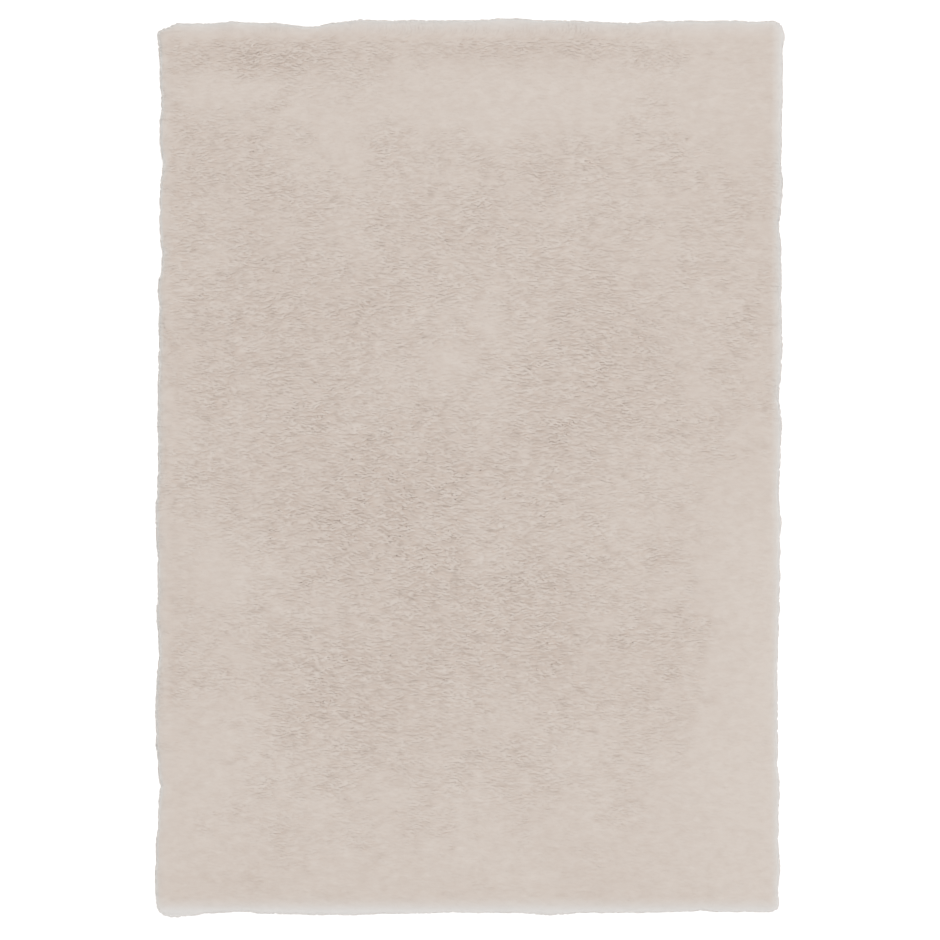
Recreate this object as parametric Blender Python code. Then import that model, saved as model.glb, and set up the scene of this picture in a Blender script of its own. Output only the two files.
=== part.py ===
"""A shag rug lying flat, as one solid: a long soft pile tufted into its base cloth.

The solid is the outer form of the whole rug. Its underside is the flat base cloth on Z = 0, its
rim is where the pile bellies out past the cloth, and its top is where the pile lies over. +X is
the side the pile is combed towards, +Y the head end and +Z up, and the origin is on the floor
under the middle of the rug. Sizes are in metres.
"""

import math
from collections import namedtuple

import bmesh
import bpy
from mathutils import Vector

# The rug is sold by its size over the pile.
WIDTH = 1.400
LENGTH = 2.000
HEIGHT = 0.036  # floor to the highest crown of the pile

# A rug is never quite square: its head end sits a little to the right of its foot end, and both
# ends climb a little to the right.
SIDE_LEAN = 0.010  # along X, over the length
END_RISE = 0.006  # along Y, over the width

# The grid that the top is shaped on. Close lines follow the turn of the pile at the rim.
COLUMNS = 48
ROWS = 66
RIM_LINES = (0.0, 0.008, 0.021, 0.042)  # in from the rim

# How the top falls to the rim: how far in from the rim, and what share of the height it has there.
Fall = namedtuple("Fall", "inwards share")
CROWN = (Fall(0.0, 0.46), Fall(0.008, 0.74), Fall(0.021, 0.89), Fall(0.042, 0.965), Fall(0.085, 1.0))

# The rim below the crown, from its widest line down to the edge of the base cloth.
Ring = namedtuple("Ring", "inwards share")
SKIRT = (Ring(-0.002, 0.26), Ring(0.001, 0.10), Ring(0.007, 0.0))

# The corners, by side and end: -1 is left or foot, 1 is right or head.
CORNER_RADII = {(-1, 1): 0.008, (1, 1): 0.030, (1, -1): 0.020, (-1, -1): 0.027}

# Where the rim bellies out (+) or draws in (-). "along" runs from the middle of that side, "reach"
# is how far the wave spreads each way, and "outward" is its height.
Wave = namedtuple("Wave", "along reach outward")
WAVE_DEPTH = 0.12  # a wave is felt this far in from the rim
LEFT_WAVES = (
    Wave(0.985, 0.075, 0.008),
    Wave(0.870, 0.080, 0.001),
    Wave(0.814, 0.035, -0.004),
    Wave(0.680, 0.050, -0.006),
    Wave(0.475, 0.060, -0.006),
    Wave(0.400, 0.040, 0.003),
    Wave(0.135, 0.150, 0.002),
    Wave(-0.110, 0.130, 0.005),
    Wave(-0.325, 0.040, 0.003),
    Wave(-0.410, 0.060, -0.004),
    Wave(-0.530, 0.080, 0.004),
    Wave(-0.605, 0.040, 0.002),
    Wave(-0.715, 0.085, -0.007),
    Wave(-0.790, 0.040, -0.003),
    Wave(-0.910, 0.070, 0.002),
)
RIGHT_WAVES = (
    Wave(0.960, 0.035, 0.0045),
    Wave(0.855, 0.040, 0.001),
    Wave(0.685, 0.035, -0.004),
    Wave(0.630, 0.045, 0.003),
    Wave(0.530, 0.070, -0.005),
    Wave(0.275, 0.090, 0.004),
    Wave(0.150, 0.035, -0.005),
    Wave(0.090, 0.045, 0.004),
    Wave(-0.055, 0.055, -0.004),
    Wave(-0.135, 0.035, 0.003),
    Wave(-0.360, 0.050, -0.002),
    Wave(-0.460, 0.140, -0.004),
    Wave(-0.580, 0.110, -0.003),
    Wave(-0.665, 0.040, -0.004),
    Wave(-0.720, 0.040, 0.003),
    Wave(-0.840, 0.050, -0.002),
    Wave(-0.880, 0.080, 0.004),
    Wave(-0.980, 0.045, 0.002),
)
HEAD_WAVES = (
    Wave(-0.700, 0.055, -0.017),
    Wave(-0.600, 0.045, -0.002),
    Wave(-0.545, 0.050, 0.002),
    Wave(-0.480, 0.055, -0.002),
    Wave(-0.375, 0.080, -0.010),
    Wave(-0.335, 0.040, -0.002),
    Wave(-0.245, 0.060, 0.004),
    Wave(-0.060, 0.260, 0.004),
    Wave(0.100, 0.080, 0.005),
    Wave(0.330, 0.110, -0.003),
    Wave(0.365, 0.035, -0.005),
    Wave(0.500, 0.080, -0.002),
    Wave(0.640, 0.060, -0.004),
)
FOOT_WAVES = (
    Wave(-0.650, 0.050, 0.0065),
    Wave(-0.565, 0.030, -0.002),
    Wave(-0.520, 0.080, -0.005),
    Wave(-0.290, 0.110, 0.002),
    Wave(-0.060, 0.100, -0.002),
    Wave(0.190, 0.080, 0.004),
    Wave(0.325, 0.040, 0.002),
    Wave(0.525, 0.050, -0.004),
    Wave(0.680, 0.040, -0.001),
)

# Where the nap has been ruffled open and lies lower (-), or is brushed over and stands higher (+).
Nap = namedtuple("Nap", "x y reach_x reach_y rise")
NAP = (
    Nap(-0.445, 0.896, 0.20, 0.08, -0.003),
    Nap(0.320, 0.905, 0.10, 0.06, -0.002),
    Nap(0.045, 0.830, 0.34, 0.10, 0.002),
    Nap(-0.090, 0.618, 0.18, 0.11, -0.002),
    Nap(0.200, 0.574, 0.18, 0.13, -0.002),
    Nap(-0.420, 0.390, 0.18, 0.18, -0.003),
    Nap(0.190, 0.230, 0.13, 0.15, -0.003),
    Nap(0.370, 0.262, 0.13, 0.12, -0.002),
    Nap(-0.033, 0.229, 0.13, 0.16, 0.002),
    Nap(-0.400, 0.050, 0.18, 0.16, -0.002),
    Nap(-0.260, -0.100, 0.28, 0.14, -0.003),
    Nap(0.290, -0.070, 0.20, 0.15, -0.003),
    Nap(-0.510, -0.240, 0.18, 0.11, 0.002),
    Nap(0.556, -0.240, 0.12, 0.12, 0.002),
    Nap(0.167, -0.305, 0.16, 0.13, -0.002),
    Nap(0.490, -0.383, 0.18, 0.12, -0.002),
    Nap(-0.290, -0.494, 0.20, 0.12, -0.002),
    Nap(-0.523, -0.583, 0.16, 0.18, 0.002),
    Nap(0.545, -0.739, 0.16, 0.24, 0.002),
    Nap(0.000, -0.828, 0.48, 0.14, 0.001),
)

PILE_COLOUR = (0.62, 0.54, 0.48, 1.0)
PILE_ROUGHNESS = 0.95


def clear_scene():
    """Empties the scene."""
    for obj in list(bpy.data.objects):
        bpy.data.objects.remove(obj, do_unlink=True)


def swell(distance, reach):
    """A smooth rise from 0 at the reach to 1 at the middle."""
    if abs(distance) >= reach:
        return 0.0
    return (1.0 + math.cos(math.pi * distance / reach)) / 2.0


def stepped(falls, inwards):
    """The share of the height at a distance in from the rim, read between the rows of a table."""
    for near, far in zip(falls, falls[1:]):
        if inwards <= far.inwards:
            part = (inwards - near.inwards) / (far.inwards - near.inwards)
            return near.share + part * (far.share - near.share)
    return falls[-1].share


def line_places(size, count):
    """Where the grid's lines lie across the rug: close at each rim, and even between."""
    half = size / 2.0
    last = RIM_LINES[-1]
    inner = count - 2 * (len(RIM_LINES) - 1)
    even = [-half + last + (size - 2.0 * last) * i / inner for i in range(1, inner)]
    left = [-half + inwards for inwards in RIM_LINES]
    right = [half - inwards for inwards in reversed(RIM_LINES)]
    return left + even + right


def rim_distance(x, y):
    """How far in from the rim a point of the squared grid is."""
    return min(WIDTH / 2.0 - abs(x), LENGTH / 2.0 - abs(y))


def into_corner(x, y):
    """The corner's radius, and how far the point is into the corner square along each axis."""
    radius = CORNER_RADII[(-1 if x < 0 else 1, -1 if y < 0 else 1)]
    return radius, abs(x) - (WIDTH / 2.0 - radius), abs(y) - (LENGTH / 2.0 - radius)


def rounded(x, y):
    """The point after its corner's square has been drawn in to a quarter circle."""
    radius, dx, dy = into_corner(x, y)
    if dx <= 0.0 or dy <= 0.0:
        return x, y
    shrink = max(dx, dy) / math.hypot(dx, dy)
    return (
        math.copysign(WIDTH / 2.0 - radius + dx * shrink, x),
        math.copysign(LENGTH / 2.0 - radius + dy * shrink, y),
    )


def outward(x, y):
    """The direction out of the rug in plan, at a point on its rim."""
    _, dx, dy = into_corner(x, y)
    if dx > 0.0 and dy > 0.0:
        return Vector((math.copysign(dx, x), math.copysign(dy, y), 0.0)).normalized()
    if WIDTH / 2.0 - abs(x) < LENGTH / 2.0 - abs(y):
        return Vector((math.copysign(1.0, x), 0.0, 0.0))
    return Vector((0.0, math.copysign(1.0, y), 0.0))


def waved(waves, along, inwards):
    """How far the waves of one side push out a point this far along the side and in from it."""
    felt = max(0.0, 1.0 - inwards / WAVE_DEPTH) ** 2
    return felt * sum(wave.outward * swell(along - wave.along, wave.reach) for wave in waves)


def in_plan(x, y):
    """The place in plan of a point of the squared grid, with corners, waves and lean."""
    px, py = rounded(x, y)
    px += waved(RIGHT_WAVES, y, WIDTH / 2.0 - x) - waved(LEFT_WAVES, y, WIDTH / 2.0 + x)
    py += waved(HEAD_WAVES, x, LENGTH / 2.0 - y) - waved(FOOT_WAVES, x, LENGTH / 2.0 + y)
    return px + SIDE_LEAN * y / LENGTH, py + END_RISE * x / WIDTH


def pile_height(x, y):
    """The height of the top at a point of the squared grid."""
    nap = sum(
        patch.rise * swell(x - patch.x, patch.reach_x) * swell(y - patch.y, patch.reach_y)
        for patch in NAP
    )
    return (HEIGHT + nap) * stepped(CROWN, rim_distance(x, y))


def shape_top(bm):
    """The top of the pile as a grid. Returns its rim's points, each with its way out in plan."""
    bmesh.ops.create_grid(bm, x_segments=COLUMNS, y_segments=ROWS, size=1.0)
    across = line_places(WIDTH, COLUMNS)
    endways = line_places(LENGTH, ROWS)
    ways_out = {}
    for vert in bm.verts:
        x = across[round((vert.co.x + 1.0) / 2.0 * COLUMNS)]
        y = endways[round((vert.co.y + 1.0) / 2.0 * ROWS)]
        px, py = in_plan(x, y)
        if vert.is_boundary:
            ways_out[vert] = outward(x, y)
        vert.co = (px, py, pile_height(x, y))
    return ways_out


def close_rim(bm, ways_out):
    """Takes the rim down ring by ring to the floor, and closes the underside with one flat face."""
    edges = [edge for edge in bm.edges if edge.is_boundary]
    above = {vert: (vert.co.copy(), way) for vert, way in ways_out.items()}
    for ring in SKIRT:
        made = bmesh.ops.extrude_edge_only(bm, edges=edges)["geom"]
        edges = [item for item in made if isinstance(item, bmesh.types.BMEdge) and item.is_boundary]
        below = {}
        for vert in (item for item in made if isinstance(item, bmesh.types.BMVert)):
            joined = (edge.other_vert(vert) for edge in vert.link_edges)
            crown, way = below[vert] = above[next(other for other in joined if other in above)]
            vert.co = crown - way * ring.inwards
            vert.co.z = HEIGHT * ring.share
        above = below
    bmesh.ops.contextual_create(bm, geom=edges)


def fit_to_size(bm):
    """Draws the rug out to its exact size over the pile, with the origin under its middle."""
    low = Vector([min(vert.co[axis] for vert in bm.verts) for axis in range(3)])
    high = Vector([max(vert.co[axis] for vert in bm.verts) for axis in range(3)])
    middle = (low + high) / 2.0
    stretch = (WIDTH / (high.x - low.x), LENGTH / (high.y - low.y), HEIGHT / (high.z - low.z))
    for vert in bm.verts:
        vert.co.x = (vert.co.x - middle.x) * stretch[0]
        vert.co.y = (vert.co.y - middle.y) * stretch[1]
        vert.co.z = (vert.co.z - low.z) * stretch[2]


def pile_material():
    """Undyed off-white pile yarn."""
    material = bpy.data.materials.new("pile")
    material.use_nodes = True
    shader = material.node_tree.nodes["Principled BSDF"]
    shader.inputs["Base Color"].default_value = PILE_COLOUR
    shader.inputs["Roughness"].default_value = PILE_ROUGHNESS
    shader.inputs["Metallic"].default_value = 0.0
    return material


def build_rug(collection):
    """The rug: pile and base cloth in one solid."""
    mesh = bpy.data.meshes.new("shag_rug")
    bm = bmesh.new()
    close_rim(bm, shape_top(bm))
    fit_to_size(bm)
    bmesh.ops.recalc_face_normals(bm, faces=bm.faces)
    bm.to_mesh(mesh)
    bm.free()
    mesh.shade_smooth()
    mesh.materials.append(pile_material())
    rug = bpy.data.objects.new("shag_rug", mesh)
    collection.objects.link(rug)


def main():
    clear_scene()
    collection = bpy.data.collections.new("shag_rug")
    bpy.context.scene.collection.children.link(collection)
    build_rug(collection)


main()
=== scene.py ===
"""The looks of the shag rug: a base cloth, the dense foot of its pile, and the locks of pile yarn.

Sizes are in metres. +X is the right side of the picture and the way most of the pile is combed,
+Y the rug's head end, and +Z up. The floor is Z = 0.
"""

import math
from collections import namedtuple

import bmesh
import bpy
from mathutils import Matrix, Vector, noise


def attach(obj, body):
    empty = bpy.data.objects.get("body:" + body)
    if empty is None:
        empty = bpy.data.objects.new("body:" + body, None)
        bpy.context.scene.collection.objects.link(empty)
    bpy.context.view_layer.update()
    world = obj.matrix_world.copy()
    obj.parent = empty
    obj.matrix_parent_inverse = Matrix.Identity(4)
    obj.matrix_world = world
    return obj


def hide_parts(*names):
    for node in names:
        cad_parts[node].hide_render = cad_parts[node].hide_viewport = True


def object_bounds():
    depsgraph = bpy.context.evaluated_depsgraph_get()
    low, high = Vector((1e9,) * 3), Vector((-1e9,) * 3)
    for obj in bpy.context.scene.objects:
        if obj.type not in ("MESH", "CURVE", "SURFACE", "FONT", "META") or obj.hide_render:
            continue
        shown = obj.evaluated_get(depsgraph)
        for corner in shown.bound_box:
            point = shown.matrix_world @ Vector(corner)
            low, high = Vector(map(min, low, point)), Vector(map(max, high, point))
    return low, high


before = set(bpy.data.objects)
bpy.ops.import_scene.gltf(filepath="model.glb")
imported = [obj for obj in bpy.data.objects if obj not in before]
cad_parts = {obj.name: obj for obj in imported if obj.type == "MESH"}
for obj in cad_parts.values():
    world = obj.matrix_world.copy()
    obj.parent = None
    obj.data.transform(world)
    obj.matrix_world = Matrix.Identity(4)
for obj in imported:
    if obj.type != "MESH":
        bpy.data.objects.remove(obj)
cad_low, cad_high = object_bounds()


# ---- Camera ----
# The picture is taken from straight above through a long lens, so the rug shows no perspective.
# The rug's middle lies a little above the middle of the picture.

PICTURE_WIDTH = 940  # pixels
RUG_WIDTH_IN_PICTURE = 629.8  # pixels
RUG_MIDDLE_ABOVE = 2.2  # pixels
CAMERA_HEIGHT = 8.0
SENSOR = 0.036
WIDEST_HEIGHT = 0.3  # of the rug's height, where its rim reaches furthest out

rug_width = cad_high.x - cad_low.x
pixel = rug_width / RUG_WIDTH_IN_PICTURE
rim_height = WIDEST_HEIGHT * cad_high.z

camera_data = bpy.data.cameras.new("camera")
camera_data.sensor_width = SENSOR * 1000.0
camera_data.lens = SENSOR * 1000.0 * (CAMERA_HEIGHT - rim_height) / (PICTURE_WIDTH * pixel)
camera_data.clip_end = 100.0
camera = bpy.data.objects.new("camera", camera_data)
camera.location = (0.0, -RUG_MIDDLE_ABOVE * pixel, CAMERA_HEIGHT)
bpy.context.scene.collection.objects.link(camera)
bpy.context.scene.camera = camera


# ---- Floor and light ----
# A white studio floor that glows a little, so that it stays white to the rug's edge. Light comes
# from all round, with one large soft lamp high over the rug, a little beyond its head end.

FLOOR_SIZE = 60.0
FLOOR_WHITE = (0.9, 0.9, 0.9, 1.0)
FLOOR_GLOW = 0.55
SKY_LIGHT = 0.52
LAMP_PLACE = Vector((1.8, 2.6, 16.2))
LAMP_SIZE = 9.0
LAMP_POWER = 720.0


class Wire:
    """What comes out of a node. Arithmetic on it adds Math nodes, or Vector Math on a vector."""

    def __init__(self, nodes, socket):
        self.nodes = nodes
        self.socket = socket

    def of(self, name):
        """Another output of the same node."""
        return Wire(self.nodes, self.socket.node.outputs[name])

    def maths(self, operation, *values):
        return self.nodes.add("ShaderNodeMath", {"operation": operation}, dict(enumerate(values)))

    def vectors(self, operation, *values):
        return self.nodes.add("ShaderNodeVectorMath", {"operation": operation}, dict(enumerate(values)))

    def both(self, operation, first, second):
        kind = self.vectors if self.socket.type == "VECTOR" else self.maths
        return kind(operation, first, second)

    def __add__(self, other):
        return self.both("ADD", self, other)

    def __radd__(self, other):
        return self.both("ADD", other, self)

    def __sub__(self, other):
        return self.both("SUBTRACT", self, other)

    def __rsub__(self, other):
        return self.both("SUBTRACT", other, self)

    def __mul__(self, other):
        if self.socket.type != "VECTOR":
            return self.maths("MULTIPLY", self, other)
        return self.nodes.add("ShaderNodeVectorMath", {"operation": "SCALE"}, {0: self, "Scale": other})

    def __rmul__(self, other):
        return self * other

    def __truediv__(self, other):
        return self.both("DIVIDE", self, other)

    def __pow__(self, other):
        return self.maths("POWER", self, other)


class Nodes:
    """Fills one node tree."""

    def __init__(self, tree):
        self.tree = tree

    def add(self, kind, settings=None, sockets=None):
        """A node of this kind: its settings first, then its sockets' values or links."""
        node = self.tree.nodes.new(kind)
        for name, value in (settings or {}).items():
            setattr(node, name, value)
        for key, value in (sockets or {}).items():
            self.feed(self.socket_of(node, key), value)
        shown = [socket for socket in node.outputs if socket.enabled]
        return Wire(self, shown[0]) if shown else node

    def mix(self, share, first, second):
        """The first colour, with this share of the second."""
        sockets = {"Factor": share, "A": first, "B": second}
        return self.add("ShaderNodeMix", {"data_type": "RGBA"}, sockets)

    def socket_of(self, node, key):
        """The input with this number or name, of those that the node's settings leave in use."""
        if isinstance(key, int):
            return node.inputs[key]
        return next(socket for socket in node.inputs if socket.name == key and socket.enabled)

    def feed(self, socket, value):
        if isinstance(value, Wire):
            self.tree.links.new(value.socket, socket)
        else:
            socket.default_value = value


def new_material(name):
    """A material with only its output and its Principled shader, which is given back with its nodes."""
    material = bpy.data.materials.new(name)
    material.use_nodes = True
    nodes = Nodes(material.node_tree)
    return material, nodes, material.node_tree.nodes["Principled BSDF"]


def new_object(name, mesh):
    made = bpy.data.objects.new(name, mesh)
    bpy.context.scene.collection.objects.link(made)
    return made


def floor_material():
    material, _, shader = new_material("floor")
    shader.inputs["Base Color"].default_value = FLOOR_WHITE
    shader.inputs["Roughness"].default_value = 1.0
    shader.inputs["Specular IOR Level"].default_value = 0.0
    shader.inputs["Emission Color"].default_value = FLOOR_WHITE
    shader.inputs["Emission Strength"].default_value = FLOOR_GLOW
    return material


bm = bmesh.new()
bmesh.ops.create_grid(bm, x_segments=1, y_segments=1, size=FLOOR_SIZE / 2.0)
floor_mesh = bpy.data.meshes.new("floor")
bm.to_mesh(floor_mesh)
bm.free()
floor_mesh.materials.append(floor_material())
floor = new_object("floor", floor_mesh)

world = bpy.data.worlds.new("studio")
world.use_nodes = True
world.node_tree.nodes["Background"].inputs["Color"].default_value = (1.0, 1.0, 1.0, 1.0)
world.node_tree.nodes["Background"].inputs["Strength"].default_value = SKY_LIGHT
bpy.context.scene.world = world

lamp_data = bpy.data.lights.new("lamp", "AREA")
lamp_data.shape = "DISK"
lamp_data.size = LAMP_SIZE
lamp_data.energy = LAMP_POWER
lamp = bpy.data.objects.new("lamp", lamp_data)
lamp.location = LAMP_PLACE
lamp.rotation_euler = (-LAMP_PLACE).to_track_quat("-Z", "Y").to_euler()
bpy.context.scene.collection.objects.link(lamp)

bpy.context.scene.view_settings.view_transform = "Standard"


# ---- Base cloth ----
# The woven cotton cloth that the pile is tufted into. It lies flat on the floor under the whole
# rug, a little inside the pile's outline.

CLOTH_THICKNESS = 0.002
CLOTH_INSIDE_RIM = 0.010  # how far it stays in from the outline of the pile
CLOTH_COLOUR = (0.60, 0.55, 0.48, 1.0)
CLOTH_SHADE = (0.42, 0.38, 0.33, 1.0)
THREADS_PER_METRE = 420.0
SAME_PLACE = 0.0001  # corners of the form that are closer than this are one


def cloth_material():
    """A plain weave: warp and weft threads pass over each other by turns."""
    material, nodes, shader = new_material("base_cloth")
    place = nodes.add("ShaderNodeTexCoord").of("Object")
    apart = nodes.add("ShaderNodeSeparateXYZ", {}, {0: place})
    turns = math.pi * THREADS_PER_METRE
    warp = apart.maths("SINE", apart.of("X") * turns)
    weft = apart.maths("SINE", apart.of("Y") * turns)
    weave = warp * weft * 0.5 + 0.5
    colour = nodes.mix(weave, CLOTH_SHADE, CLOTH_COLOUR)
    bump = nodes.add("ShaderNodeBump", {}, {"Height": weave, "Distance": 0.0004, "Strength": 0.6})
    nodes.feed(shader.inputs["Base Color"], colour)
    nodes.feed(shader.inputs["Normal"], bump)
    shader.inputs["Roughness"].default_value = 0.95
    shader.inputs["Specular IOR Level"].default_value = 0.1
    return material


def rug_form():
    """A merged copy of the rug's form, without its underside."""
    bm = bmesh.new()
    bm.from_mesh(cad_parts["shag_rug"].data)
    bmesh.ops.remove_doubles(bm, verts=bm.verts, dist=SAME_PLACE)
    underside = [face for face in bm.faces if all(vert.co.z < SAME_PLACE for vert in face.verts)]
    bmesh.ops.delete(bm, geom=underside, context="FACES")
    return bm


bm = rug_form()
inside = [vert for vert in bm.verts if not vert.is_boundary]
bmesh.ops.delete(bm, geom=inside, context="VERTS")
for vert in bm.verts:
    vert.co.x *= 1.0 - CLOTH_INSIDE_RIM / cad_high.x
    vert.co.y *= 1.0 - CLOTH_INSIDE_RIM / cad_high.y
    vert.co.z = 0.0
bottom = bmesh.ops.contextual_create(bm, geom=bm.edges)["faces"]
top = bmesh.ops.extrude_face_region(bm, geom=bottom)["geom"]
top = [item for item in top if isinstance(item, bmesh.types.BMVert)]
bmesh.ops.translate(bm, vec=(0.0, 0.0, CLOTH_THICKNESS), verts=top)
bmesh.ops.recalc_face_normals(bm, faces=bm.faces)
cloth_mesh = bpy.data.meshes.new("base_cloth")
bm.to_mesh(cloth_mesh)
bm.free()
cloth_mesh.materials.append(cloth_material())
base_cloth = new_object("base_cloth", cloth_mesh)
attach(base_cloth, "root")


# ---- Pile foot ----
# The lower part of the pile: twisted yarn that is tufted into the cloth so close that it reads as
# one body. It follows the pile's surface a little below it, and the locks that show root on it.

FORM_STEP = 0.008  # the size of the form's faces once they are made even
SHORTEST_EDGE = 0.003  # corners of its faces that are closer than this are made one
FOOT_BELOW = 0.0009  # under the surface of the pile where that is brushed smooth
FOOT_BELOW_RUFFLED = 0.0044
FOOT_OVER_FLOOR = 0.0025
TUFT_DEPTH = 0.0050  # of the broad hollows between tufts
TUFT_DEPTH_SMOOTH = 0.65  # as a share of that, where the pile is brushed smooth
NAP_DEPTH = 0.0018  # of the small hollows
RIM_REACH = 0.05  # the pile this far in from the rim is combed over it
RIM_SPREAD = 0.0051  # the loose ends of the rim's pile spread this far past the rug's form

# Places of the rug, each with how strongly it is ruffled, or how much paler it is.
Patch = namedtuple("Patch", "x y reach_x reach_y amount")

# Where the pile is ruffled open (+) or brushed smooth (-).
RUFFLED = (
    Patch(-0.06, 0.03, 1.00, 1.30, 0.38),
    Patch(-0.50, 0.35, 0.24, 0.60, 0.14),
    Patch(-0.18, -0.10, 0.40, 0.26, 0.28),
    Patch(0.27, 0.21, 0.22, 0.24, 0.28),
    Patch(0.10, -0.36, 0.28, 0.22, 0.30),
    Patch(-0.28, -0.51, 0.22, 0.18, 0.38),
    Patch(0.49, -0.38, 0.16, 0.14, 0.25),
    Patch(-0.46, 0.91, 0.28, 0.06, 0.30),
    Patch(0.10, 0.93, 0.55, 0.04, 0.22),
    Patch(0.05, 0.82, 0.46, 0.13, -0.95),
    Patch(-0.57, 0.84, 0.17, 0.08, -0.50),
    Patch(0.60, 0.84, 0.20, 0.24, -0.80),
    Patch(-0.29, 0.73, 0.16, 0.14, -0.40),
    Patch(-0.02, 0.26, 0.18, 0.20, -0.36),
    Patch(-0.56, -0.26, 0.20, 0.16, -0.45),
    Patch(-0.52, -0.62, 0.16, 0.16, -0.30),
    Patch(-0.64, -0.80, 0.20, 0.36, -0.40),
    Patch(0.64, -0.42, 0.24, 0.70, -0.80),
    Patch(0.60, -0.85, 0.34, 0.34, -0.50),
    Patch(0.00, -0.95, 1.10, 0.30, -0.50),
)
SKIRT_RUFFLE = 0.35  # how ruffled the pile is that hangs over the rim
SKIRT_STARTS = 0.8  # how far up the form faces where the skirt starts
SKIRT_FULL = 0.4  # and where it is all skirt
EASE = 0.2  # pile brushed less smooth than this stands a little open
PATCHINESS = 0.36  # how much the ruffling comes and goes from place to place
FINE_PATCHINESS = 0.8  # as a share of that

# Patches of painted light (+) and painted shade (-), where the pile reads paler or darker.
LIGHT_AND_SHADE_PATCHES = (
    Patch(0.09, 0.82, 0.42, 0.12, 0.80),
    Patch(0.57, 0.86, 0.18, 0.16, 0.80),
    Patch(-0.56, 0.84, 0.16, 0.07, 0.70),
    Patch(-0.02, 0.24, 0.18, 0.25, 0.15),
    Patch(-0.49, -0.25, 0.25, 0.16, 0.40),
    Patch(-0.49, -0.63, 0.18, 0.22, 0.60),
    Patch(0.64, -0.47, 0.22, 0.75, 0.90),
    Patch(0.58, -0.85, 0.30, 0.30, 0.70),
    Patch(0.00, -0.75, 1.00, 0.30, 0.30),
    Patch(-0.46, 0.91, 0.34, 0.07, -1.00),
    Patch(0.07, 0.91, 0.42, 0.05, -0.80),
    Patch(-0.45, 0.32, 0.35, 0.45, -0.45),
    Patch(-0.27, -0.05, 0.42, 0.24, -0.35),
    Patch(0.27, 0.10, 0.28, 0.40, -0.35),
    Patch(0.20, -0.37, 0.40, 0.20, -0.35),
    Patch(-0.33, -0.52, 0.26, 0.16, -0.35),
)


# Soft random waves over the rug: how many to a metre each way, and which layer of the noise.
Waves = namedtuple("Waves", "in_x in_y layer")
BROAD_RUFFLES = Waves(13.0, 16.0, 7.7)
FINE_RUFFLES = Waves(31.0, 38.0, 2.3)
TUFTS = Waves(24.0, 38.0, 0.3)
NAP = Waves(60.0, 95.0, 4.1)


def wave_at(waves, x, y):
    """How high these waves are here, from about -1 to 1."""
    return noise.noise(Vector((x * waves.in_x, y * waves.in_y, waves.layer)))


def swell(distance, reach):
    """A smooth rise from 0 at the reach to 1 at the middle."""
    if abs(distance) >= reach:
        return 0.0
    return (1.0 + math.cos(math.pi * distance / reach)) / 2.0


def amount_at(patches, x, y):
    """What all these patches come to here."""
    return sum(
        patch.amount * swell(x - patch.x, patch.reach_x) * swell(y - patch.y, patch.reach_y)
        for patch in patches
    )


def skirt_or(ruffle, vert):
    """This ruffling on top of the rug, going over to the skirt's own where the form faces out."""
    share = max(0.0, min(1.0, (SKIRT_STARTS - vert.normal.z) / (SKIRT_STARTS - SKIRT_FULL)))
    return ruffle + (SKIRT_RUFFLE - ruffle) * share


def opened(ruffle):
    """How open pile this ruffled stands, from 0 to 1."""
    return max(0.0, ruffle + EASE) / (1.0 + EASE)


def ruffle_at(x, y):
    """How ruffled the pile is here, from -1 to 1."""
    total = amount_at(RUFFLED, x, y)
    total += PATCHINESS * wave_at(BROAD_RUFFLES, x, y)
    total += PATCHINESS * FINE_PATCHINESS * wave_at(FINE_RUFFLES, x, y)
    return max(-1.0, min(1.0, total))


PILE_COLOUR = (0.915, 0.822, 0.748, 1.0)
PILE_SHADE = (0.842, 0.734, 0.656, 1.0)
PILE_DEEP = (0.58, 0.49, 0.42, 1.0)  # down in the pile, where little light comes
RIM_PAINTED_LIGHT = (0.860, 0.842, 0.814, 1.0)  # painted light: greyer and paler where the pile turns down over the rim
RIM_GROWS = 2.5  # how fast that colour takes over as the form turns out
RIM_FADES = 1.6  # and how fast it goes again further down
RIM_LEAST = 0.4  # the share of it that is left at the floor
END_PAINTED_LIGHT = (0.985, 0.950, 0.920, 1.0)
END_REACH = 0.055  # painted light: the pile is paler this far in from the rug's two ends
FOOT_END_GAIN = 1.2  # and this much more so at its foot end
HEAD_END_STOPS = 2.0  # how sharply that stops where the pile turns down at the head end
FOOT_END_STOPS = 0.5
RIGHT_PAINTED_LIGHT = (0.985, 0.955, 0.925, 1.0)
RIGHT_REACH = 0.032  # and painted light, paler and greyer, this far in from its right side
RIGHT_STOPS = 0.5

# What makes the pile paler, from 0 for its shade to 1 for its full colour.
PALE_EVENLY = 0.42
PALE_PATCHES = 0.36
PALE_SMOOTH = 0.04  # painted light where it is brushed smooth, and painted shade where it stands open
PALE_LOCKS = 0.30  # from one lock to the next
# painted highlights: the locks' tips paler, and tips that stand up paler still
TIP_HIGHLIGHT = 0.12
RAISED_TIP_HIGHLIGHT = 1.3
PALE_BLOTCHES = 0.8
PALE_MARKS = 3.1

BROAD_BLOTCHES = 4.0  # to a metre
SMALL_BLOTCHES = 28.0
MARKS = (42.0, 90.0, 42.0)  # to a metre, each way: they are long in the way of the combing
SHADE_MARKS_BELOW = 0.38  # marks below this get painted shade, as for gaps between the locks
# painted shade towards PILE_DEEP, in those marks and at the locks' roots
MARK_SHADE = 3.4
ROOT_SHADE = 0.05
ROOTS_FADE = 4.0  # how soon a lock leaves the painted shade at its root
OPEN_SMOOTH = 0.35  # how much of its marks the pile shows where it is brushed smooth
OPEN_SKIRT = 0.6  # and how much more where it turns down


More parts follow.
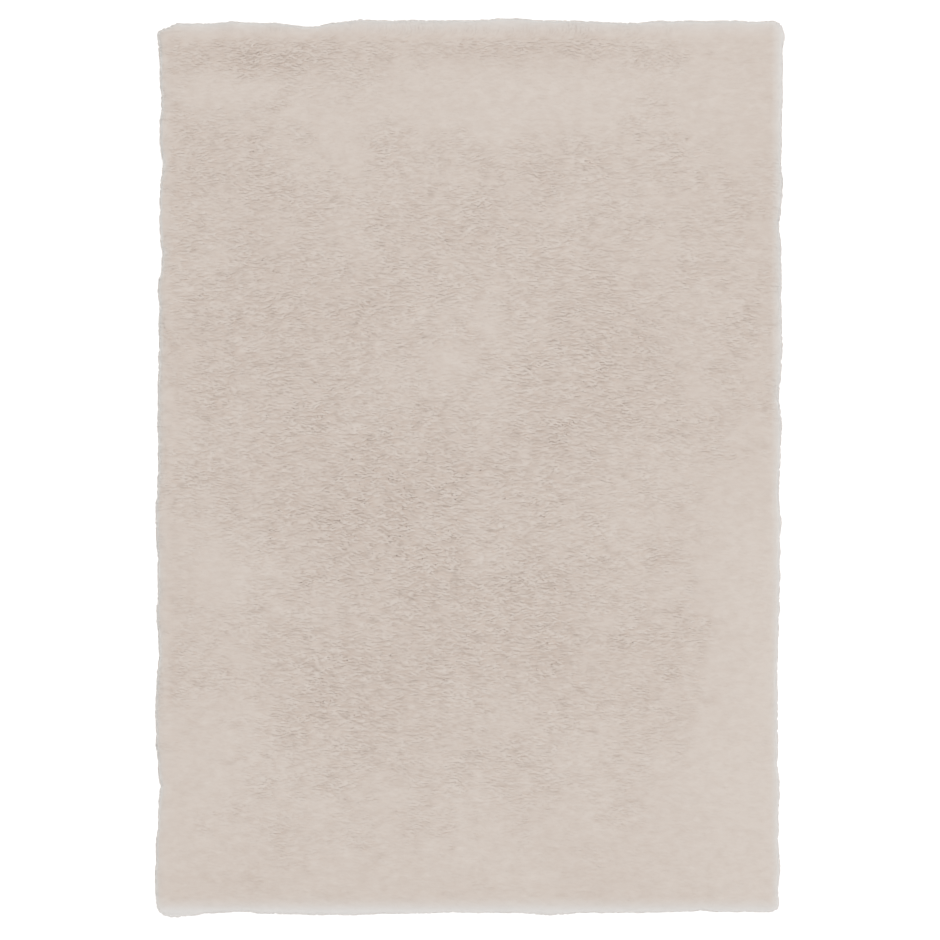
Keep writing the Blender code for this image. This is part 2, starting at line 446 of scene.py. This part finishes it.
def pile_material(name):
    """Off-white yarn: each lock a little paler or darker, painted highlights on its tips, painted shade
    deep in the hollows, painted light greyer over the rim and paler near the ends and right side.
    """
    material, nodes, shader = new_material(name)
    place = nodes.add("ShaderNodeTexCoord").of("Object")
    at = nodes.add("ShaderNodeSeparateXYZ", {}, {0: place})
    tip = nodes.add("ShaderNodeAttribute", {"attribute_name": "tip"}).of("Fac")
    shade = nodes.add("ShaderNodeAttribute", {"attribute_name": "shade"}).of("Fac")
    raised = nodes.add("ShaderNodeAttribute", {"attribute_name": "raised"}).of("Fac")
    patches = nodes.add("ShaderNodeAttribute", {"attribute_name": "paler"}).of("Fac")
    ruffle = nodes.add("ShaderNodeAttribute", {"attribute_name": "ruffle"}).of("Fac")
    over = nodes.add("ShaderNodeAttribute", {"attribute_name": "over"}).of("Vector")
    upwards = nodes.add("ShaderNodeSeparateXYZ", {}, {0: over}).of("Z")
    on_top = upwards.maths("MAXIMUM", upwards, 0.0)
    ruffled = (ruffle.maths("MAXIMUM", ruffle, -EASE) + EASE) / (1.0 + EASE)
    openness = OPEN_SMOOTH + (1.0 - OPEN_SMOOTH) * ruffled + OPEN_SKIRT * (1.0 - upwards)

    broad = nodes.add("ShaderNodeTexNoise", {}, {"Vector": place, "Scale": BROAD_BLOTCHES, "Detail": 4.0})
    small = nodes.add("ShaderNodeTexNoise", {}, {"Vector": place, "Scale": SMALL_BLOTCHES, "Detail": 2.0})
    stretched = place.vectors("MULTIPLY", place, MARKS)
    marks = nodes.add("ShaderNodeTexNoise", {}, {"Vector": stretched, "Scale": 1.0, "Detail": 1.0})
    # Each lock's own tone, with painted highlights on its tips.
    lock_by_lock = (shade - 0.5) * PALE_LOCKS + tip * TIP_HIGHLIGHT + tip * tip * (raised * RAISED_TIP_HIGHLIGHT)
    # Painted light and shade by patches, and by how smooth or open the pile lies.
    paler = PALE_EVENLY + patches * PALE_PATCHES - ruffle * PALE_SMOOTH + lock_by_lock * openness
    paler = paler + (broad - 0.5) * PALE_BLOTCHES + (small - 0.5) * PALE_BLOTCHES
    paler = paler + (marks - 0.5) * openness * PALE_MARKS
    colour = nodes.mix(paler, PILE_SHADE, PILE_COLOUR)

    # Painted shade where the pile stands open: dark spots in the low marks, and at the locks' roots.
    shaded_mark = marks.maths("MAXIMUM", SHADE_MARKS_BELOW - marks, 0.0)
    painted_shade = ((1.0 - tip) ** ROOTS_FADE * ROOT_SHADE + shaded_mark * MARK_SHADE) * ruffled
    colour = nodes.mix(painted_shade, colour, PILE_DEEP)

    # Painted light over the rim: greyer and paler as the form turns out, less of it at the floor.
    fading = upwards.maths("MAXIMUM", upwards * RIM_FADES, RIM_LEAST)
    turning = upwards.maths("MINIMUM", (1.0 - upwards) * RIM_GROWS, fading)
    colour = nodes.mix(turning.maths("MINIMUM", turning, 1.0), colour, RIM_PAINTED_LIGHT)

    # Painted light: paler near the rug's two ends, more so at the foot end, and mostly on top.
    along = at.of("Y")
    foot_end = along.maths("LESS_THAN", along, 0.0)
    near_end = 1.0 - (cad_high.y - along.maths("ABSOLUTE", along)) / END_REACH
    near_end = near_end.maths("MAXIMUM", near_end, 0.0)
    near_end = near_end * near_end * (1.0 + FOOT_END_GAIN * foot_end)
    stops = HEAD_END_STOPS - (HEAD_END_STOPS - FOOT_END_STOPS) * foot_end
    colour = nodes.mix(near_end * on_top ** stops, colour, END_PAINTED_LIGHT)

    # Painted light: paler and greyer near the right side, mostly on top.
    near_right = 1.0 - (cad_high.x - at.of("X")) / RIGHT_REACH
    near_right = near_right.maths("MAXIMUM", near_right, 0.0)
    colour = nodes.mix(near_right * on_top ** RIGHT_STOPS, colour, RIGHT_PAINTED_LIGHT)

    nodes.feed(shader.inputs["Base Color"], colour)
    shader.inputs["Roughness"].default_value = 0.9
    shader.inputs["Specular IOR Level"].default_value = 0.15
    shader.inputs["Sheen Weight"].default_value = 0.2
    shader.inputs["Sheen Roughness"].default_value = 0.5
    return material


def even_form():
    """The rug's form in even four-sided faces, open at the floor."""
    bm = rug_form()
    rim = [edge for edge in bm.edges if edge.is_boundary]
    below = bmesh.ops.extrude_edge_only(bm, edges=rim)["geom"]
    below = [item for item in below if isinstance(item, bmesh.types.BMVert)]
    bmesh.ops.translate(bm, vec=(0.0, 0.0, -2.0 * FORM_STEP), verts=below)
    bmesh.ops.holes_fill(bm, edges=[edge for edge in bm.edges if edge.is_boundary])
    bmesh.ops.recalc_face_normals(bm, faces=bm.faces)
    mesh = bpy.data.meshes.new("even_form")
    bm.to_mesh(mesh)
    uneven = new_object("even_form", mesh)
    remesh = uneven.modifiers.new("even", "REMESH")
    remesh.mode = "VOXEL"
    remesh.voxel_size = FORM_STEP
    bpy.context.view_layer.update()
    even = bpy.data.meshes.new_from_object(uneven.evaluated_get(bpy.context.evaluated_depsgraph_get()))
    bpy.data.objects.remove(uneven)
    bm.clear()
    bm.from_mesh(even)
    everything = bm.verts[:] + bm.edges[:] + bm.faces[:]
    bmesh.ops.bisect_plane(
        bm, geom=everything, plane_co=(0.0, 0.0, 0.0), plane_no=(0.0, 0.0, -1.0), clear_outer=True
    )
    off_floor = [vert for vert in bm.verts if vert.co.z > SHORTEST_EDGE]
    bmesh.ops.remove_doubles(bm, verts=off_floor, dist=SHORTEST_EDGE)
    for vert in bm.verts:
        vert.co.x *= 1.0 + RIM_SPREAD / cad_high.x
        vert.co.y *= 1.0 + RIM_SPREAD / cad_high.y
    bm.to_mesh(even)
    bm.free()
    return even


def pile_surface(cuts, below, below_ruffled):
    """The rug's form with the hollows between its tufts pressed in, and lowered by so much."""
    bm = bmesh.new()
    bm.from_mesh(even)
    if cuts:
        bmesh.ops.subdivide_edges(bm, edges=bm.edges, cuts=cuts, use_grid_fill=True)
    bm.normal_update()
    for vert in bm.verts:
        x, y, _ = vert.co
        ruffled = opened(skirt_or(ruffle_at(x, y), vert))
        tuft_share = TUFT_DEPTH_SMOOTH + (1.0 - TUFT_DEPTH_SMOOTH) * ruffled
        tufts = tuft_share * TUFT_DEPTH * (0.5 + 0.5 * wave_at(TUFTS, x, y))
        nap = NAP_DEPTH * (0.5 + 0.5 * wave_at(NAP, x, y))
        vert.co -= vert.normal * (tufts + nap + below + (below_ruffled - below) * ruffled)
    bm.normal_update()
    return bm


def give(mesh, name, values):
    """Stores a number or a vector for each vertex."""
    if isinstance(values[0], float):
        mesh.attributes.new(name, "FLOAT", "POINT").data.foreach_set("value", values)
    else:
        flat = [number for value in values for number in value]
        mesh.attributes.new(name, "FLOAT_VECTOR", "POINT").data.foreach_set("vector", flat)


def pile_mesh(name, bm):
    """A mesh with what the locks need to know at each place of it."""
    mesh = bpy.data.meshes.new(name)
    bm.to_mesh(mesh)
    mesh.shade_smooth()
    ruffles = []
    palers = []
    inwards = []
    outward = []
    for vert in mesh.vertices:
        x, y, _ = vert.co
        from_side = max(0.0, cad_high.x - abs(x))
        from_end = max(0.0, cad_high.y - abs(y))
        ruffles.append(skirt_or(min(ruffle_at(x, y), from_end / RIM_REACH - 1.0), vert))
        palers.append(amount_at(LIGHT_AND_SHADE_PATCHES, x, y))
        inwards.append(min(from_side, from_end))
        way_x = math.copysign(max(0.0, RIM_REACH - from_side), x)
        way_y = math.copysign(max(0.0, RIM_REACH - from_end), y)
        outward.append((way_x, way_y, 0.0))
    give(mesh, "ruffle", ruffles)
    give(mesh, "paler", palers)
    give(mesh, "inwards", inwards)
    give(mesh, "outward", outward)
    give(mesh, "over", [tuple(vert.normal) for vert in mesh.vertices])
    return mesh


even = even_form()
bm = pile_surface(1, 0.0, 0.0)
surface_mesh = pile_mesh("pile_surface", bm)
bm.free()
bm = pile_surface(0, FOOT_BELOW, FOOT_BELOW_RUFFLED)
for vert in bm.verts:
    vert.co.z = max(vert.co.z, FOOT_OVER_FLOOR)
bmesh.ops.holes_fill(bm, edges=[edge for edge in bm.edges if edge.is_boundary])
bmesh.ops.recalc_face_normals(bm, faces=bm.faces)
foot_mesh = pile_mesh("pile_foot", bm)
bm.free()
foot_mesh.materials.append(pile_material("pile_foot"))
pile_foot = new_object("pile_foot", foot_mesh)
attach(pile_foot, "root")
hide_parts("shag_rug")


# ---- Locks of pile ----
# The twisted ends of the pile yarn: soft tapering locks that rise out of the pile, bend over and
# lie mostly towards +X, and that hang over the rim to the floor.

LOCKS_PER_SQUARE_METRE = 31500.0
RIM_CROWDING = 0.5  # this many more of them, as a share, near the rim
CROWDED_REACH = 0.03
LOCK_LENGTH = 0.025
LOCK_SHORTER_RUFFLED = 0.20
LOCK_WIDTH = 0.0074
LOCK_THICKNESS = 0.04  # as a share of its width
RAISED_THICKNESS = 0.06  # and this much more for one with a raised tip
LOCK_SIDES = 3
LOCK_STEPS = 2
LOCK_DEPTH = 0.0003  # of the highest locks under the pile's surface, and as much again of others
ROOT_DEPTH = 0.0025  # of a lock's root under its tip
ROOT_DEEPER_RUFFLED = 2.0
ROOT_RISE = 6.0  # how soon a lock has come up from its root
TIP_LIFT = 0.0045  # the most that a raised tip stands up
RAISED_SHARE = 0.3  # of the locks where the pile is all ruffled
RAISED_ON = 0.8  # the form faces up this far where tips are raised
SKIRT_DROP = 0.012  # a lock reaches this much further than the way to the rim and down to the floor
FLOOR_GAP = 0.001
ROOTED_UP_TO = -0.5  # no locks grow where the foot of the pile faces further down than this
LEAST_UP = -0.1  # and no lock's back is taken to face further down than this
SHARP_FOLD = 1.0  # radians
BANDS = 5  # the pile is made in this many pieces, from the foot end to the head end
PILE_SEED = 7

# How far locks turn from the way they are combed, in radians.
BROAD_TURN = 0.25
BROAD_TURNS_PER_METRE = 9.0
TUFT_TURN = 0.26
TUFT_TURN_RUFFLED = 0.30
TUFT_TURNS_PER_METRE = 34.0
TUFT_TURNS_START = 5.0  # the tufts' noise is taken from this far off
LOCK_TURN = 0.18
LOCK_TURN_RUFFLED = 0.34
LOCK_TURN_SMOOTHED = 0.06
LOCK_WAVE = 0.06  # how far it waves to the side, as a share of its length
WAVE_LENGTH = 4.0  # radians of that wave from root to tip
WAVE_START = 3.0  # the most that the wave is shifted from lock to lock, in radians
RIPPLE_GAIN = 2.6  # noise keeps near its middle, and this spreads it to about -1 to 1

# Near the rim they swing round to point out over it. Where that is back against the combing, some
# turn right round and the others stay as they are.
BEHIND = 1.9  # past this angle the way out is back against the combing
TURNED_ROUND = 1.6  # the share that turns right round at the very rim, less the next number
TURNED_ROUND_LESS = 0.2
SWING = 2.5
SWING_MORE_AT_HEAD = 5.0
SWING_EASE = 0.2

# Short partings, where the locks lie apart and the pile shows its depth.
PARTINGS_PER_METRE = 32.0
PARTING_LENGTH = 0.0060
PARTING_WIDTH = 0.0008
PARTING_WIDTH_SMOOTH = 0.6  # as a share of it, where the pile is smooth
PARTING_WIDER_RUFFLED = 0.8  # and this much more where it is all ruffled
PARTING_TURN = 0.9  # radians
PARTING_ROWS = 1.7  # they stand this much closer across the combing than along it
CLEAR_OF_LENGTH = 0.35  # a parting is also clear of this share of half a lock's length
CLEAR_OF_WIDTH = 0.28  # and this share of its width

# How far a lock's skin is lit as the pile round it, and not as a hard thing.
SOFTNESS = 0.91
SOFTNESS_RUFFLED = 0.86
RAISED_HARDER = 0.25
SKIRT_HARDER = 0.2


class PileTree:
    """The node tree that grows the locks of one band of the pile."""

    INPUTS = (
        ("Rug form", "NodeSocketObject"),
        ("Locks per square metre", "NodeSocketFloat"),
        ("Lock length", "NodeSocketFloat"),
        ("Lock width", "NodeSocketFloat"),
        ("Root depth", "NodeSocketFloat"),
        ("Tip lift", "NodeSocketFloat"),
        ("Partings per metre", "NodeSocketFloat"),
        ("Parting length", "NodeSocketFloat"),
        ("Parting width", "NodeSocketFloat"),
        ("Rim reach", "NodeSocketFloat"),
        ("Band from", "NodeSocketFloat"),
        ("Band to", "NodeSocketFloat"),
        ("Floor gap", "NodeSocketFloat"),
        ("Seed", "NodeSocketInt"),
    )
    CHANCES = {
        "size": (0.75, 1.15),
        "turn": (-1.0, 1.0),
        "sway": (-1.0, 1.0),
        "shade": (0.0, 1.0),
        "sunk": (0.0, 1.0),
        "choice": (0.0, 1.0),
        "stray": (0.0, 1.0),
    }

    def __init__(self, material):
        self.tree = bpy.data.node_groups.new("locks_of_pile", "GeometryNodeTree")
        self.tree.interface.new_socket("Pile foot", in_out="INPUT", socket_type="NodeSocketGeometry")
        self.identifiers = {}
        for name, kind in self.INPUTS:
            item = self.tree.interface.new_socket(name, in_out="INPUT", socket_type=kind)
            self.identifiers[name] = item.identifier
        self.tree.interface.new_socket("Locks", in_out="OUTPUT", socket_type="NodeSocketGeometry")
        self.nodes = Nodes(self.tree)
        self.given = self.nodes.add("NodeGroupInput")
        self.form = self.nodes.add(
            "GeometryNodeObjectInfo", {}, {"Object": self.given.of("Rug form")}
        ).of("Geometry")
        self.grow(material)

    def attribute(self, name, kind="FLOAT"):
        return self.nodes.add("GeometryNodeInputNamedAttribute", {"data_type": kind}, {"Name": name})

    def store(self, geometry, name, value, kind="FLOAT"):
        return self.nodes.add(
            "GeometryNodeStoreNamedAttribute",
            {"data_type": kind, "domain": "POINT"},
            {"Geometry": geometry, "Name": name, "Value": value},
        )

    def chance(self, low, high, offset):
        """A random number for each lock."""
        seed = self.given.of("Seed") + offset
        return self.nodes.add(
            "FunctionNodeRandomValue", {"data_type": "FLOAT"}, {"Min": low, "Max": high, "Seed": seed}
        )

    def ripple(self, place, scale, offset):
        """A smooth field from about -1 to 1 over the rug, with so many ripples to a metre."""
        shifted = place + (offset, 0.0, 0.0)
        field = self.nodes.add(
            "ShaderNodeTexNoise", {}, {"Vector": shifted, "Scale": scale, "Detail": 1.0}
        )
        return (field - 0.5) * RIPPLE_GAIN

    def parts(self, vector):
        return self.nodes.add("ShaderNodeSeparateXYZ", {}, {0: vector})

    def vector(self, x, y, z):
        return self.nodes.add("ShaderNodeCombineXYZ", {}, {0: x, 1: y, 2: z})

    def on_form(self, place):
        """The nearest point of the rug's form, and the way out of the form there."""
        point = self.nodes.add(
            "GeometryNodeProximity",
            {"target_element": "FACES"},
            {"Geometry": self.form, "Sample Position": place},
        )
        facing = self.nodes.add("GeometryNodeInputNormal")
        out = self.nodes.add(
            "GeometryNodeSampleNearestSurface",
            {"data_type": "FLOAT_VECTOR"},
            {"Mesh": self.form, "Value": facing, "Sample Position": place},
        )
        return point, out.vectors("NORMALIZE", out)

    def grow(self, material):
        nodes = self.nodes
        given = self.given
        scattered = nodes.add(
            "GeometryNodeDistributePointsOnFaces",
            {"distribute_method": "RANDOM"},
            {
                "Mesh": given.of("Pile foot"),
                "Density": given.of("Locks per square metre") * self.crowding(),
                "Seed": given.of("Seed"),
            },
        )
        place = nodes.add("GeometryNodeInputPosition")
        points = self.store(scattered, "root", place, "FLOAT_VECTOR")
        for offset, (name, (low, high)) in enumerate(self.CHANCES.items()):
            points = self.store(points, name, self.chance(low, high, offset + 1))
        points = self.store(points, "heading", self.heading(place))
        points = self.store(points, "raised", self.raised())
        at = self.parts(place)
        along = at.of("Y")
        below = self.parts(scattered.of("Normal")).of("Z")
        outside = along.maths("LESS_THAN", along, given.of("Band from"))
        outside = outside + along.maths("GREATER_THAN", along, given.of("Band to"))
        outside = outside + below.maths("LESS_THAN", below, ROOTED_UP_TO) + self.parted(place)
        points = nodes.add(
            "GeometryNodeDeleteGeometry", {"domain": "POINT"}, {"Geometry": points, "Selection": outside}
        )
        cone = nodes.add(
            "GeometryNodeMeshCone",
            {"fill_type": "NGON"},
            {
                "Vertices": LOCK_SIDES,
                "Side Segments": LOCK_STEPS,
                "Radius Top": 0.0,
                "Radius Bottom": 1.0,
                "Depth": 1.0,
            },
        )
        locks = nodes.add("GeometryNodeInstanceOnPoints", {}, {"Points": points, "Instance": cone})
        locks = nodes.add("GeometryNodeRealizeInstances", {}, {"Geometry": locks})
        root = self.attribute("root", "FLOAT_VECTOR")
        locks = self.store(locks, "local", place - root, "FLOAT_VECTOR")
        tip = self.parts(self.attribute("local", "FLOAT_VECTOR")).of("Z")
        locks = self.store(locks, "tip", tip)
        locks = self.store(locks, "centre", self.laid(root, tip), "FLOAT_VECTOR")
        centre = self.attribute("centre", "FLOAT_VECTOR")
        nearest, over = self.on_form(centre)
        facing = self.parts(over)
        upwards = facing.maths("MAXIMUM", facing.of("Z"), LEAST_UP)
        over = self.vector(facing.of("X"), facing.of("Y"), upwards)
        locks = self.store(locks, "over", over.vectors("NORMALIZE", over), "FLOAT_VECTOR")
        skin = self.filled(nearest, tip)
        locks = nodes.add("GeometryNodeSetPosition", {}, {"Geometry": locks, "Position": skin})
        locks = nodes.add("GeometryNodeSetShadeSmooth", {}, {"Geometry": locks})
        fold = nodes.add("GeometryNodeInputMeshEdgeAngle")
        sharp = fold.maths("GREATER_THAN", fold, SHARP_FOLD)
        locks = nodes.add(
            "GeometryNodeSetShadeSmooth",
            {"domain": "EDGE"},
            {"Geometry": locks, "Selection": sharp, "Shade Smooth": False},
        )
        locks = nodes.add(
            "GeometryNodeSetMeshNormal",
            {"mode": "FREE", "domain": "CORNER"},
            {"Mesh": locks, "Custom Normal": self.softened()},
        )
        locks = nodes.add("GeometryNodeSetMaterial", {}, {"Geometry": locks, "Material": material})
        nodes.add("NodeGroupOutput", {}, {"Locks": locks})

    def softened(self):
        """The way that a lock's skin seems to face: mostly as the rug's form does, as loose fibres do."""
        own = self.nodes.add(
            "GeometryNodeFieldOnDomain",
            {"data_type": "FLOAT_VECTOR", "domain": "FACE"},
            {0: self.nodes.add("GeometryNodeInputNormal")},
        )
        over = self.attribute("over", "FLOAT_VECTOR")
        side = own.vectors("DOT_PRODUCT", own, over)
        side = side.maths("SIGN", side)
        softness = SOFTNESS + (SOFTNESS_RUFFLED - SOFTNESS) * self.ruffled()
        turned_down = 1.0 - self.parts(over).of("Z")
        softness = softness - self.attribute("raised") * RAISED_HARDER - turned_down * SKIRT_HARDER
        return own.vectors("NORMALIZE", own * (1.0 - softness) + over * (side * softness))

    def crowding(self):
        """How many more locks grow here than elsewhere: they stand closer near the rim."""
        inwards = self.attribute("inwards")
        return 1.0 + inwards.maths("LESS_THAN", inwards, CROWDED_REACH) * RIM_CROWDING

    def ruffled(self):
        """How open the pile stands, from 0 to 1."""
        ruffle = self.attribute("ruffle")
        return (ruffle.maths("MAXIMUM", ruffle, -EASE) + EASE) / (1.0 + EASE)

    def raised(self):
        """1 for the few locks, all on top of the rug, whose tips stand up off the pile."""
        stray = self.attribute("stray")
        upwards = self.parts(self.attribute("over", "FLOAT_VECTOR")).of("Z")
        on_top = upwards.maths("GREATER_THAN", upwards, RAISED_ON)
        return stray.maths("LESS_THAN", stray, RAISED_SHARE * self.ruffled() * on_top)

    def heading(self, root):
        """Which way each lock lies, as an angle from +X: as combed, or out over the rim near it."""
        ruffle = self.attribute("ruffle")
        ruffled = self.ruffled()
        smooth = ruffle.maths("MAXIMUM", ruffle * -1.0, 0.0)
        broad = self.ripple(root, BROAD_TURNS_PER_METRE, 0.0)
        tufts = self.ripple(root, TUFT_TURNS_PER_METRE, TUFT_TURNS_START)
        own = LOCK_TURN + LOCK_TURN_RUFFLED * ruffled - LOCK_TURN_SMOOTHED * smooth
        turn = broad * BROAD_TURN + tufts * (TUFT_TURN + TUFT_TURN_RUFFLED * ruffled)
        turn = turn + self.attribute("turn") * own
        outward = self.parts(self.attribute("outward", "FLOAT_VECTOR"))
        outwards = outward.maths("ARCTAN2", outward.of("Y"), outward.of("X"))
        near_rim = 1.0 - self.attribute("inwards") / self.given.of("Rim reach")
        near_rim = near_rim.maths("MAXIMUM", near_rim, 0.0)
        choice = self.attribute("choice")
        chosen = choice.maths("LESS_THAN", choice, near_rim * TURNED_ROUND - TURNED_ROUND_LESS)
        head = outward.maths("GREATER_THAN", outward.of("Y"), 0.0)
        swing = near_rim * (SWING + SWING_MORE_AT_HEAD * head)
        swung = near_rim.maths("SMOOTH_MIN", swing, 1.0, SWING_EASE)
        backwards = outwards.maths("GREATER_THAN", outwards.maths("ABSOLUTE", outwards), BEHIND)
        return turn + outwards * (chosen * backwards + swung * (1.0 - backwards))

    def laid(self, root, tip):
        """Where a lock's middle line lies: along its heading, and down over the rim."""
        given = self.given
        heading = self.attribute("heading")
        size = self.attribute("size")
        sway = self.attribute("sway")
        way = self.vector(heading.maths("COSINE", heading), heading.maths("SINE", heading), 0.0)
        aside = self.vector(heading.maths("SINE", heading) * -1.0, heading.maths("COSINE", heading), 0.0)
        room = SKIRT_DROP + self.parts(root).of("Z") + self.attribute("inwards")
        length = given.of("Lock length") * size * (1.0 - LOCK_SHORTER_RUFFLED * self.ruffled())
        length = room.maths("MINIMUM", room, length)
        wave = tip.maths("SINE", tip * WAVE_LENGTH + sway * WAVE_START) * sway * LOCK_WAVE
        straight = root + way * (length * tip) + aside * (length * wave)
        nearest, out = self.on_form(straight)
        past = out.vectors("DOT_PRODUCT", out, straight - nearest)
        past = past.maths("MAXIMUM", past, 0.0)
        return nearest - self.vector(0.0, 0.0, past)

    def parted(self, root):
        """More than 0 for locks that would lie over one of the short partings in the ruffled pile."""
        given = self.given
        heading = self.attribute("heading")
        half_length = given.of("Lock length") * 0.5
        root = self.parts(root)
        middle_x = root.of("X") + half_length * heading.maths("COSINE", heading)
        middle_y = root.of("Y") + half_length * heading.maths("SINE", heading)
        cell = self.nodes.add(
            "ShaderNodeTexVoronoi",
            {"voronoi_dimensions": "2D", "feature": "F1"},
            {
                "Vector": self.vector(middle_x, middle_y * PARTING_ROWS, 0.0),
                "Scale": given.of("Partings per metre"),
            },
        )
        chances = self.parts(cell.of("Color"))
        parting = self.parts(cell.of("Position"))
        turn = (chances.of("X") - 0.5) * PARTING_TURN
        cosine = turn.maths("COSINE", turn)
        sine = turn.maths("SINE", turn)
        x = middle_x - parting.of("X")
        y = middle_y - parting.of("Y") / PARTING_ROWS
        along = x * cosine + y * sine
        across = y * cosine - x * sine
        length = given.of("Parting length") * (0.5 + chances.of("Y")) + half_length * CLEAR_OF_LENGTH
        open_here = 1.0 - (along / length) ** 2.0
        ruffled = self.ruffled()
        width_here = PARTING_WIDTH_SMOOTH + PARTING_WIDER_RUFFLED * ruffled
        wide = given.of("Parting width") * width_here * open_here
        wide = wide + given.of("Lock width") * CLEAR_OF_WIDTH
        near = across.maths("LESS_THAN", across.maths("ABSOLUTE", across), wide)
        near = near * along.maths("LESS_THAN", along.maths("ABSOLUTE", along), length)
        return near * chances.maths("LESS_THAN", chances.of("Z"), ruffled)

    def filled(self, nearest, tip):
        """The lock's skin round its middle line, a little under the form, and widest half way along."""
        given = self.given
        size = self.attribute("size")
        heading = self.attribute("heading")
        over = self.attribute("over", "FLOAT_VECTOR")
        left = 1.0 - tip
        deeper = 1.0 + ROOT_DEEPER_RUFFLED * self.ruffled()
        depth = given.of("Root depth") * deeper * left ** ROOT_RISE
        depth = depth + LOCK_DEPTH + LOCK_DEPTH * self.attribute("sunk")
        wide = given.of("Lock width") * size * left ** 0.5 * (0.5 + tip)
        ring = self.parts(self.attribute("local", "FLOAT_VECTOR"))
        up = ring.of("X") / (left + 0.0001)
        across = ring.of("Y") / (left + 0.0001) * -1.0
        way = self.vector(heading.maths("COSINE", heading), heading.maths("SINE", heading), 0.0)
        outwards = way.vectors("DOT_PRODUCT", way, over)
        down = self.vector(0.0, 0.0, outwards.maths("MAXIMUM", outwards, 0.0))
        aside = over.vectors("CROSS_PRODUCT", over, way - over * outwards - down)
        aside = aside.vectors("NORMALIZE", aside)
        raised = self.attribute("raised")
        lifted = raised * self.attribute("sunk") * given.of("Tip lift") * tip ** 2.0
        thick = up * wide * (LOCK_THICKNESS + RAISED_THICKNESS * raised)
        skin = nearest + aside * (across * wide * 0.5) + over * (thick + lifted - depth)
        at = self.parts(skin)
        height = at.of("Z")
        height = height.maths("MAXIMUM", height, given.of("Floor gap") + up * wide * LOCK_THICKNESS)
        return self.vector(at.of("X"), at.of("Y"), height)


form = new_object("pile_surface", surface_mesh)
pile = PileTree(pile_material("pile"))
band_length = (cad_high.y - cad_low.y) / BANDS
for band in range(BANDS):
    start = cad_low.y + band * band_length
    grower = new_object(f"pile_{band + 1}_source", pile_foot.data.copy())
    modifier = grower.modifiers.new("locks", "NODES")
    modifier.node_group = pile.tree
    values = {
        "Rug form": form,
        "Locks per square metre": LOCKS_PER_SQUARE_METRE,
        "Lock length": LOCK_LENGTH,
        "Lock width": LOCK_WIDTH,
        "Root depth": ROOT_DEPTH,
        "Tip lift": TIP_LIFT,
        "Partings per metre": PARTINGS_PER_METRE,
        "Parting length": PARTING_LENGTH,
        "Parting width": PARTING_WIDTH,
        "Rim reach": RIM_REACH,
        "Band from": start,
        "Band to": start + band_length,
        "Floor gap": FLOOR_GAP,
        "Seed": PILE_SEED,
    }
    for name, value in values.items():
        modifier[pile.identifiers[name]] = value
    bpy.context.view_layer.update()
    grown = grower.evaluated_get(bpy.context.evaluated_depsgraph_get())
    mesh = bpy.data.meshes.new_from_object(grown)
    mesh.name = f"pile_{band + 1}"
    bpy.data.objects.remove(grower)
    piece = new_object(f"pile_{band + 1}", mesh)
    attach(piece, "root")
bpy.data.objects.remove(form)
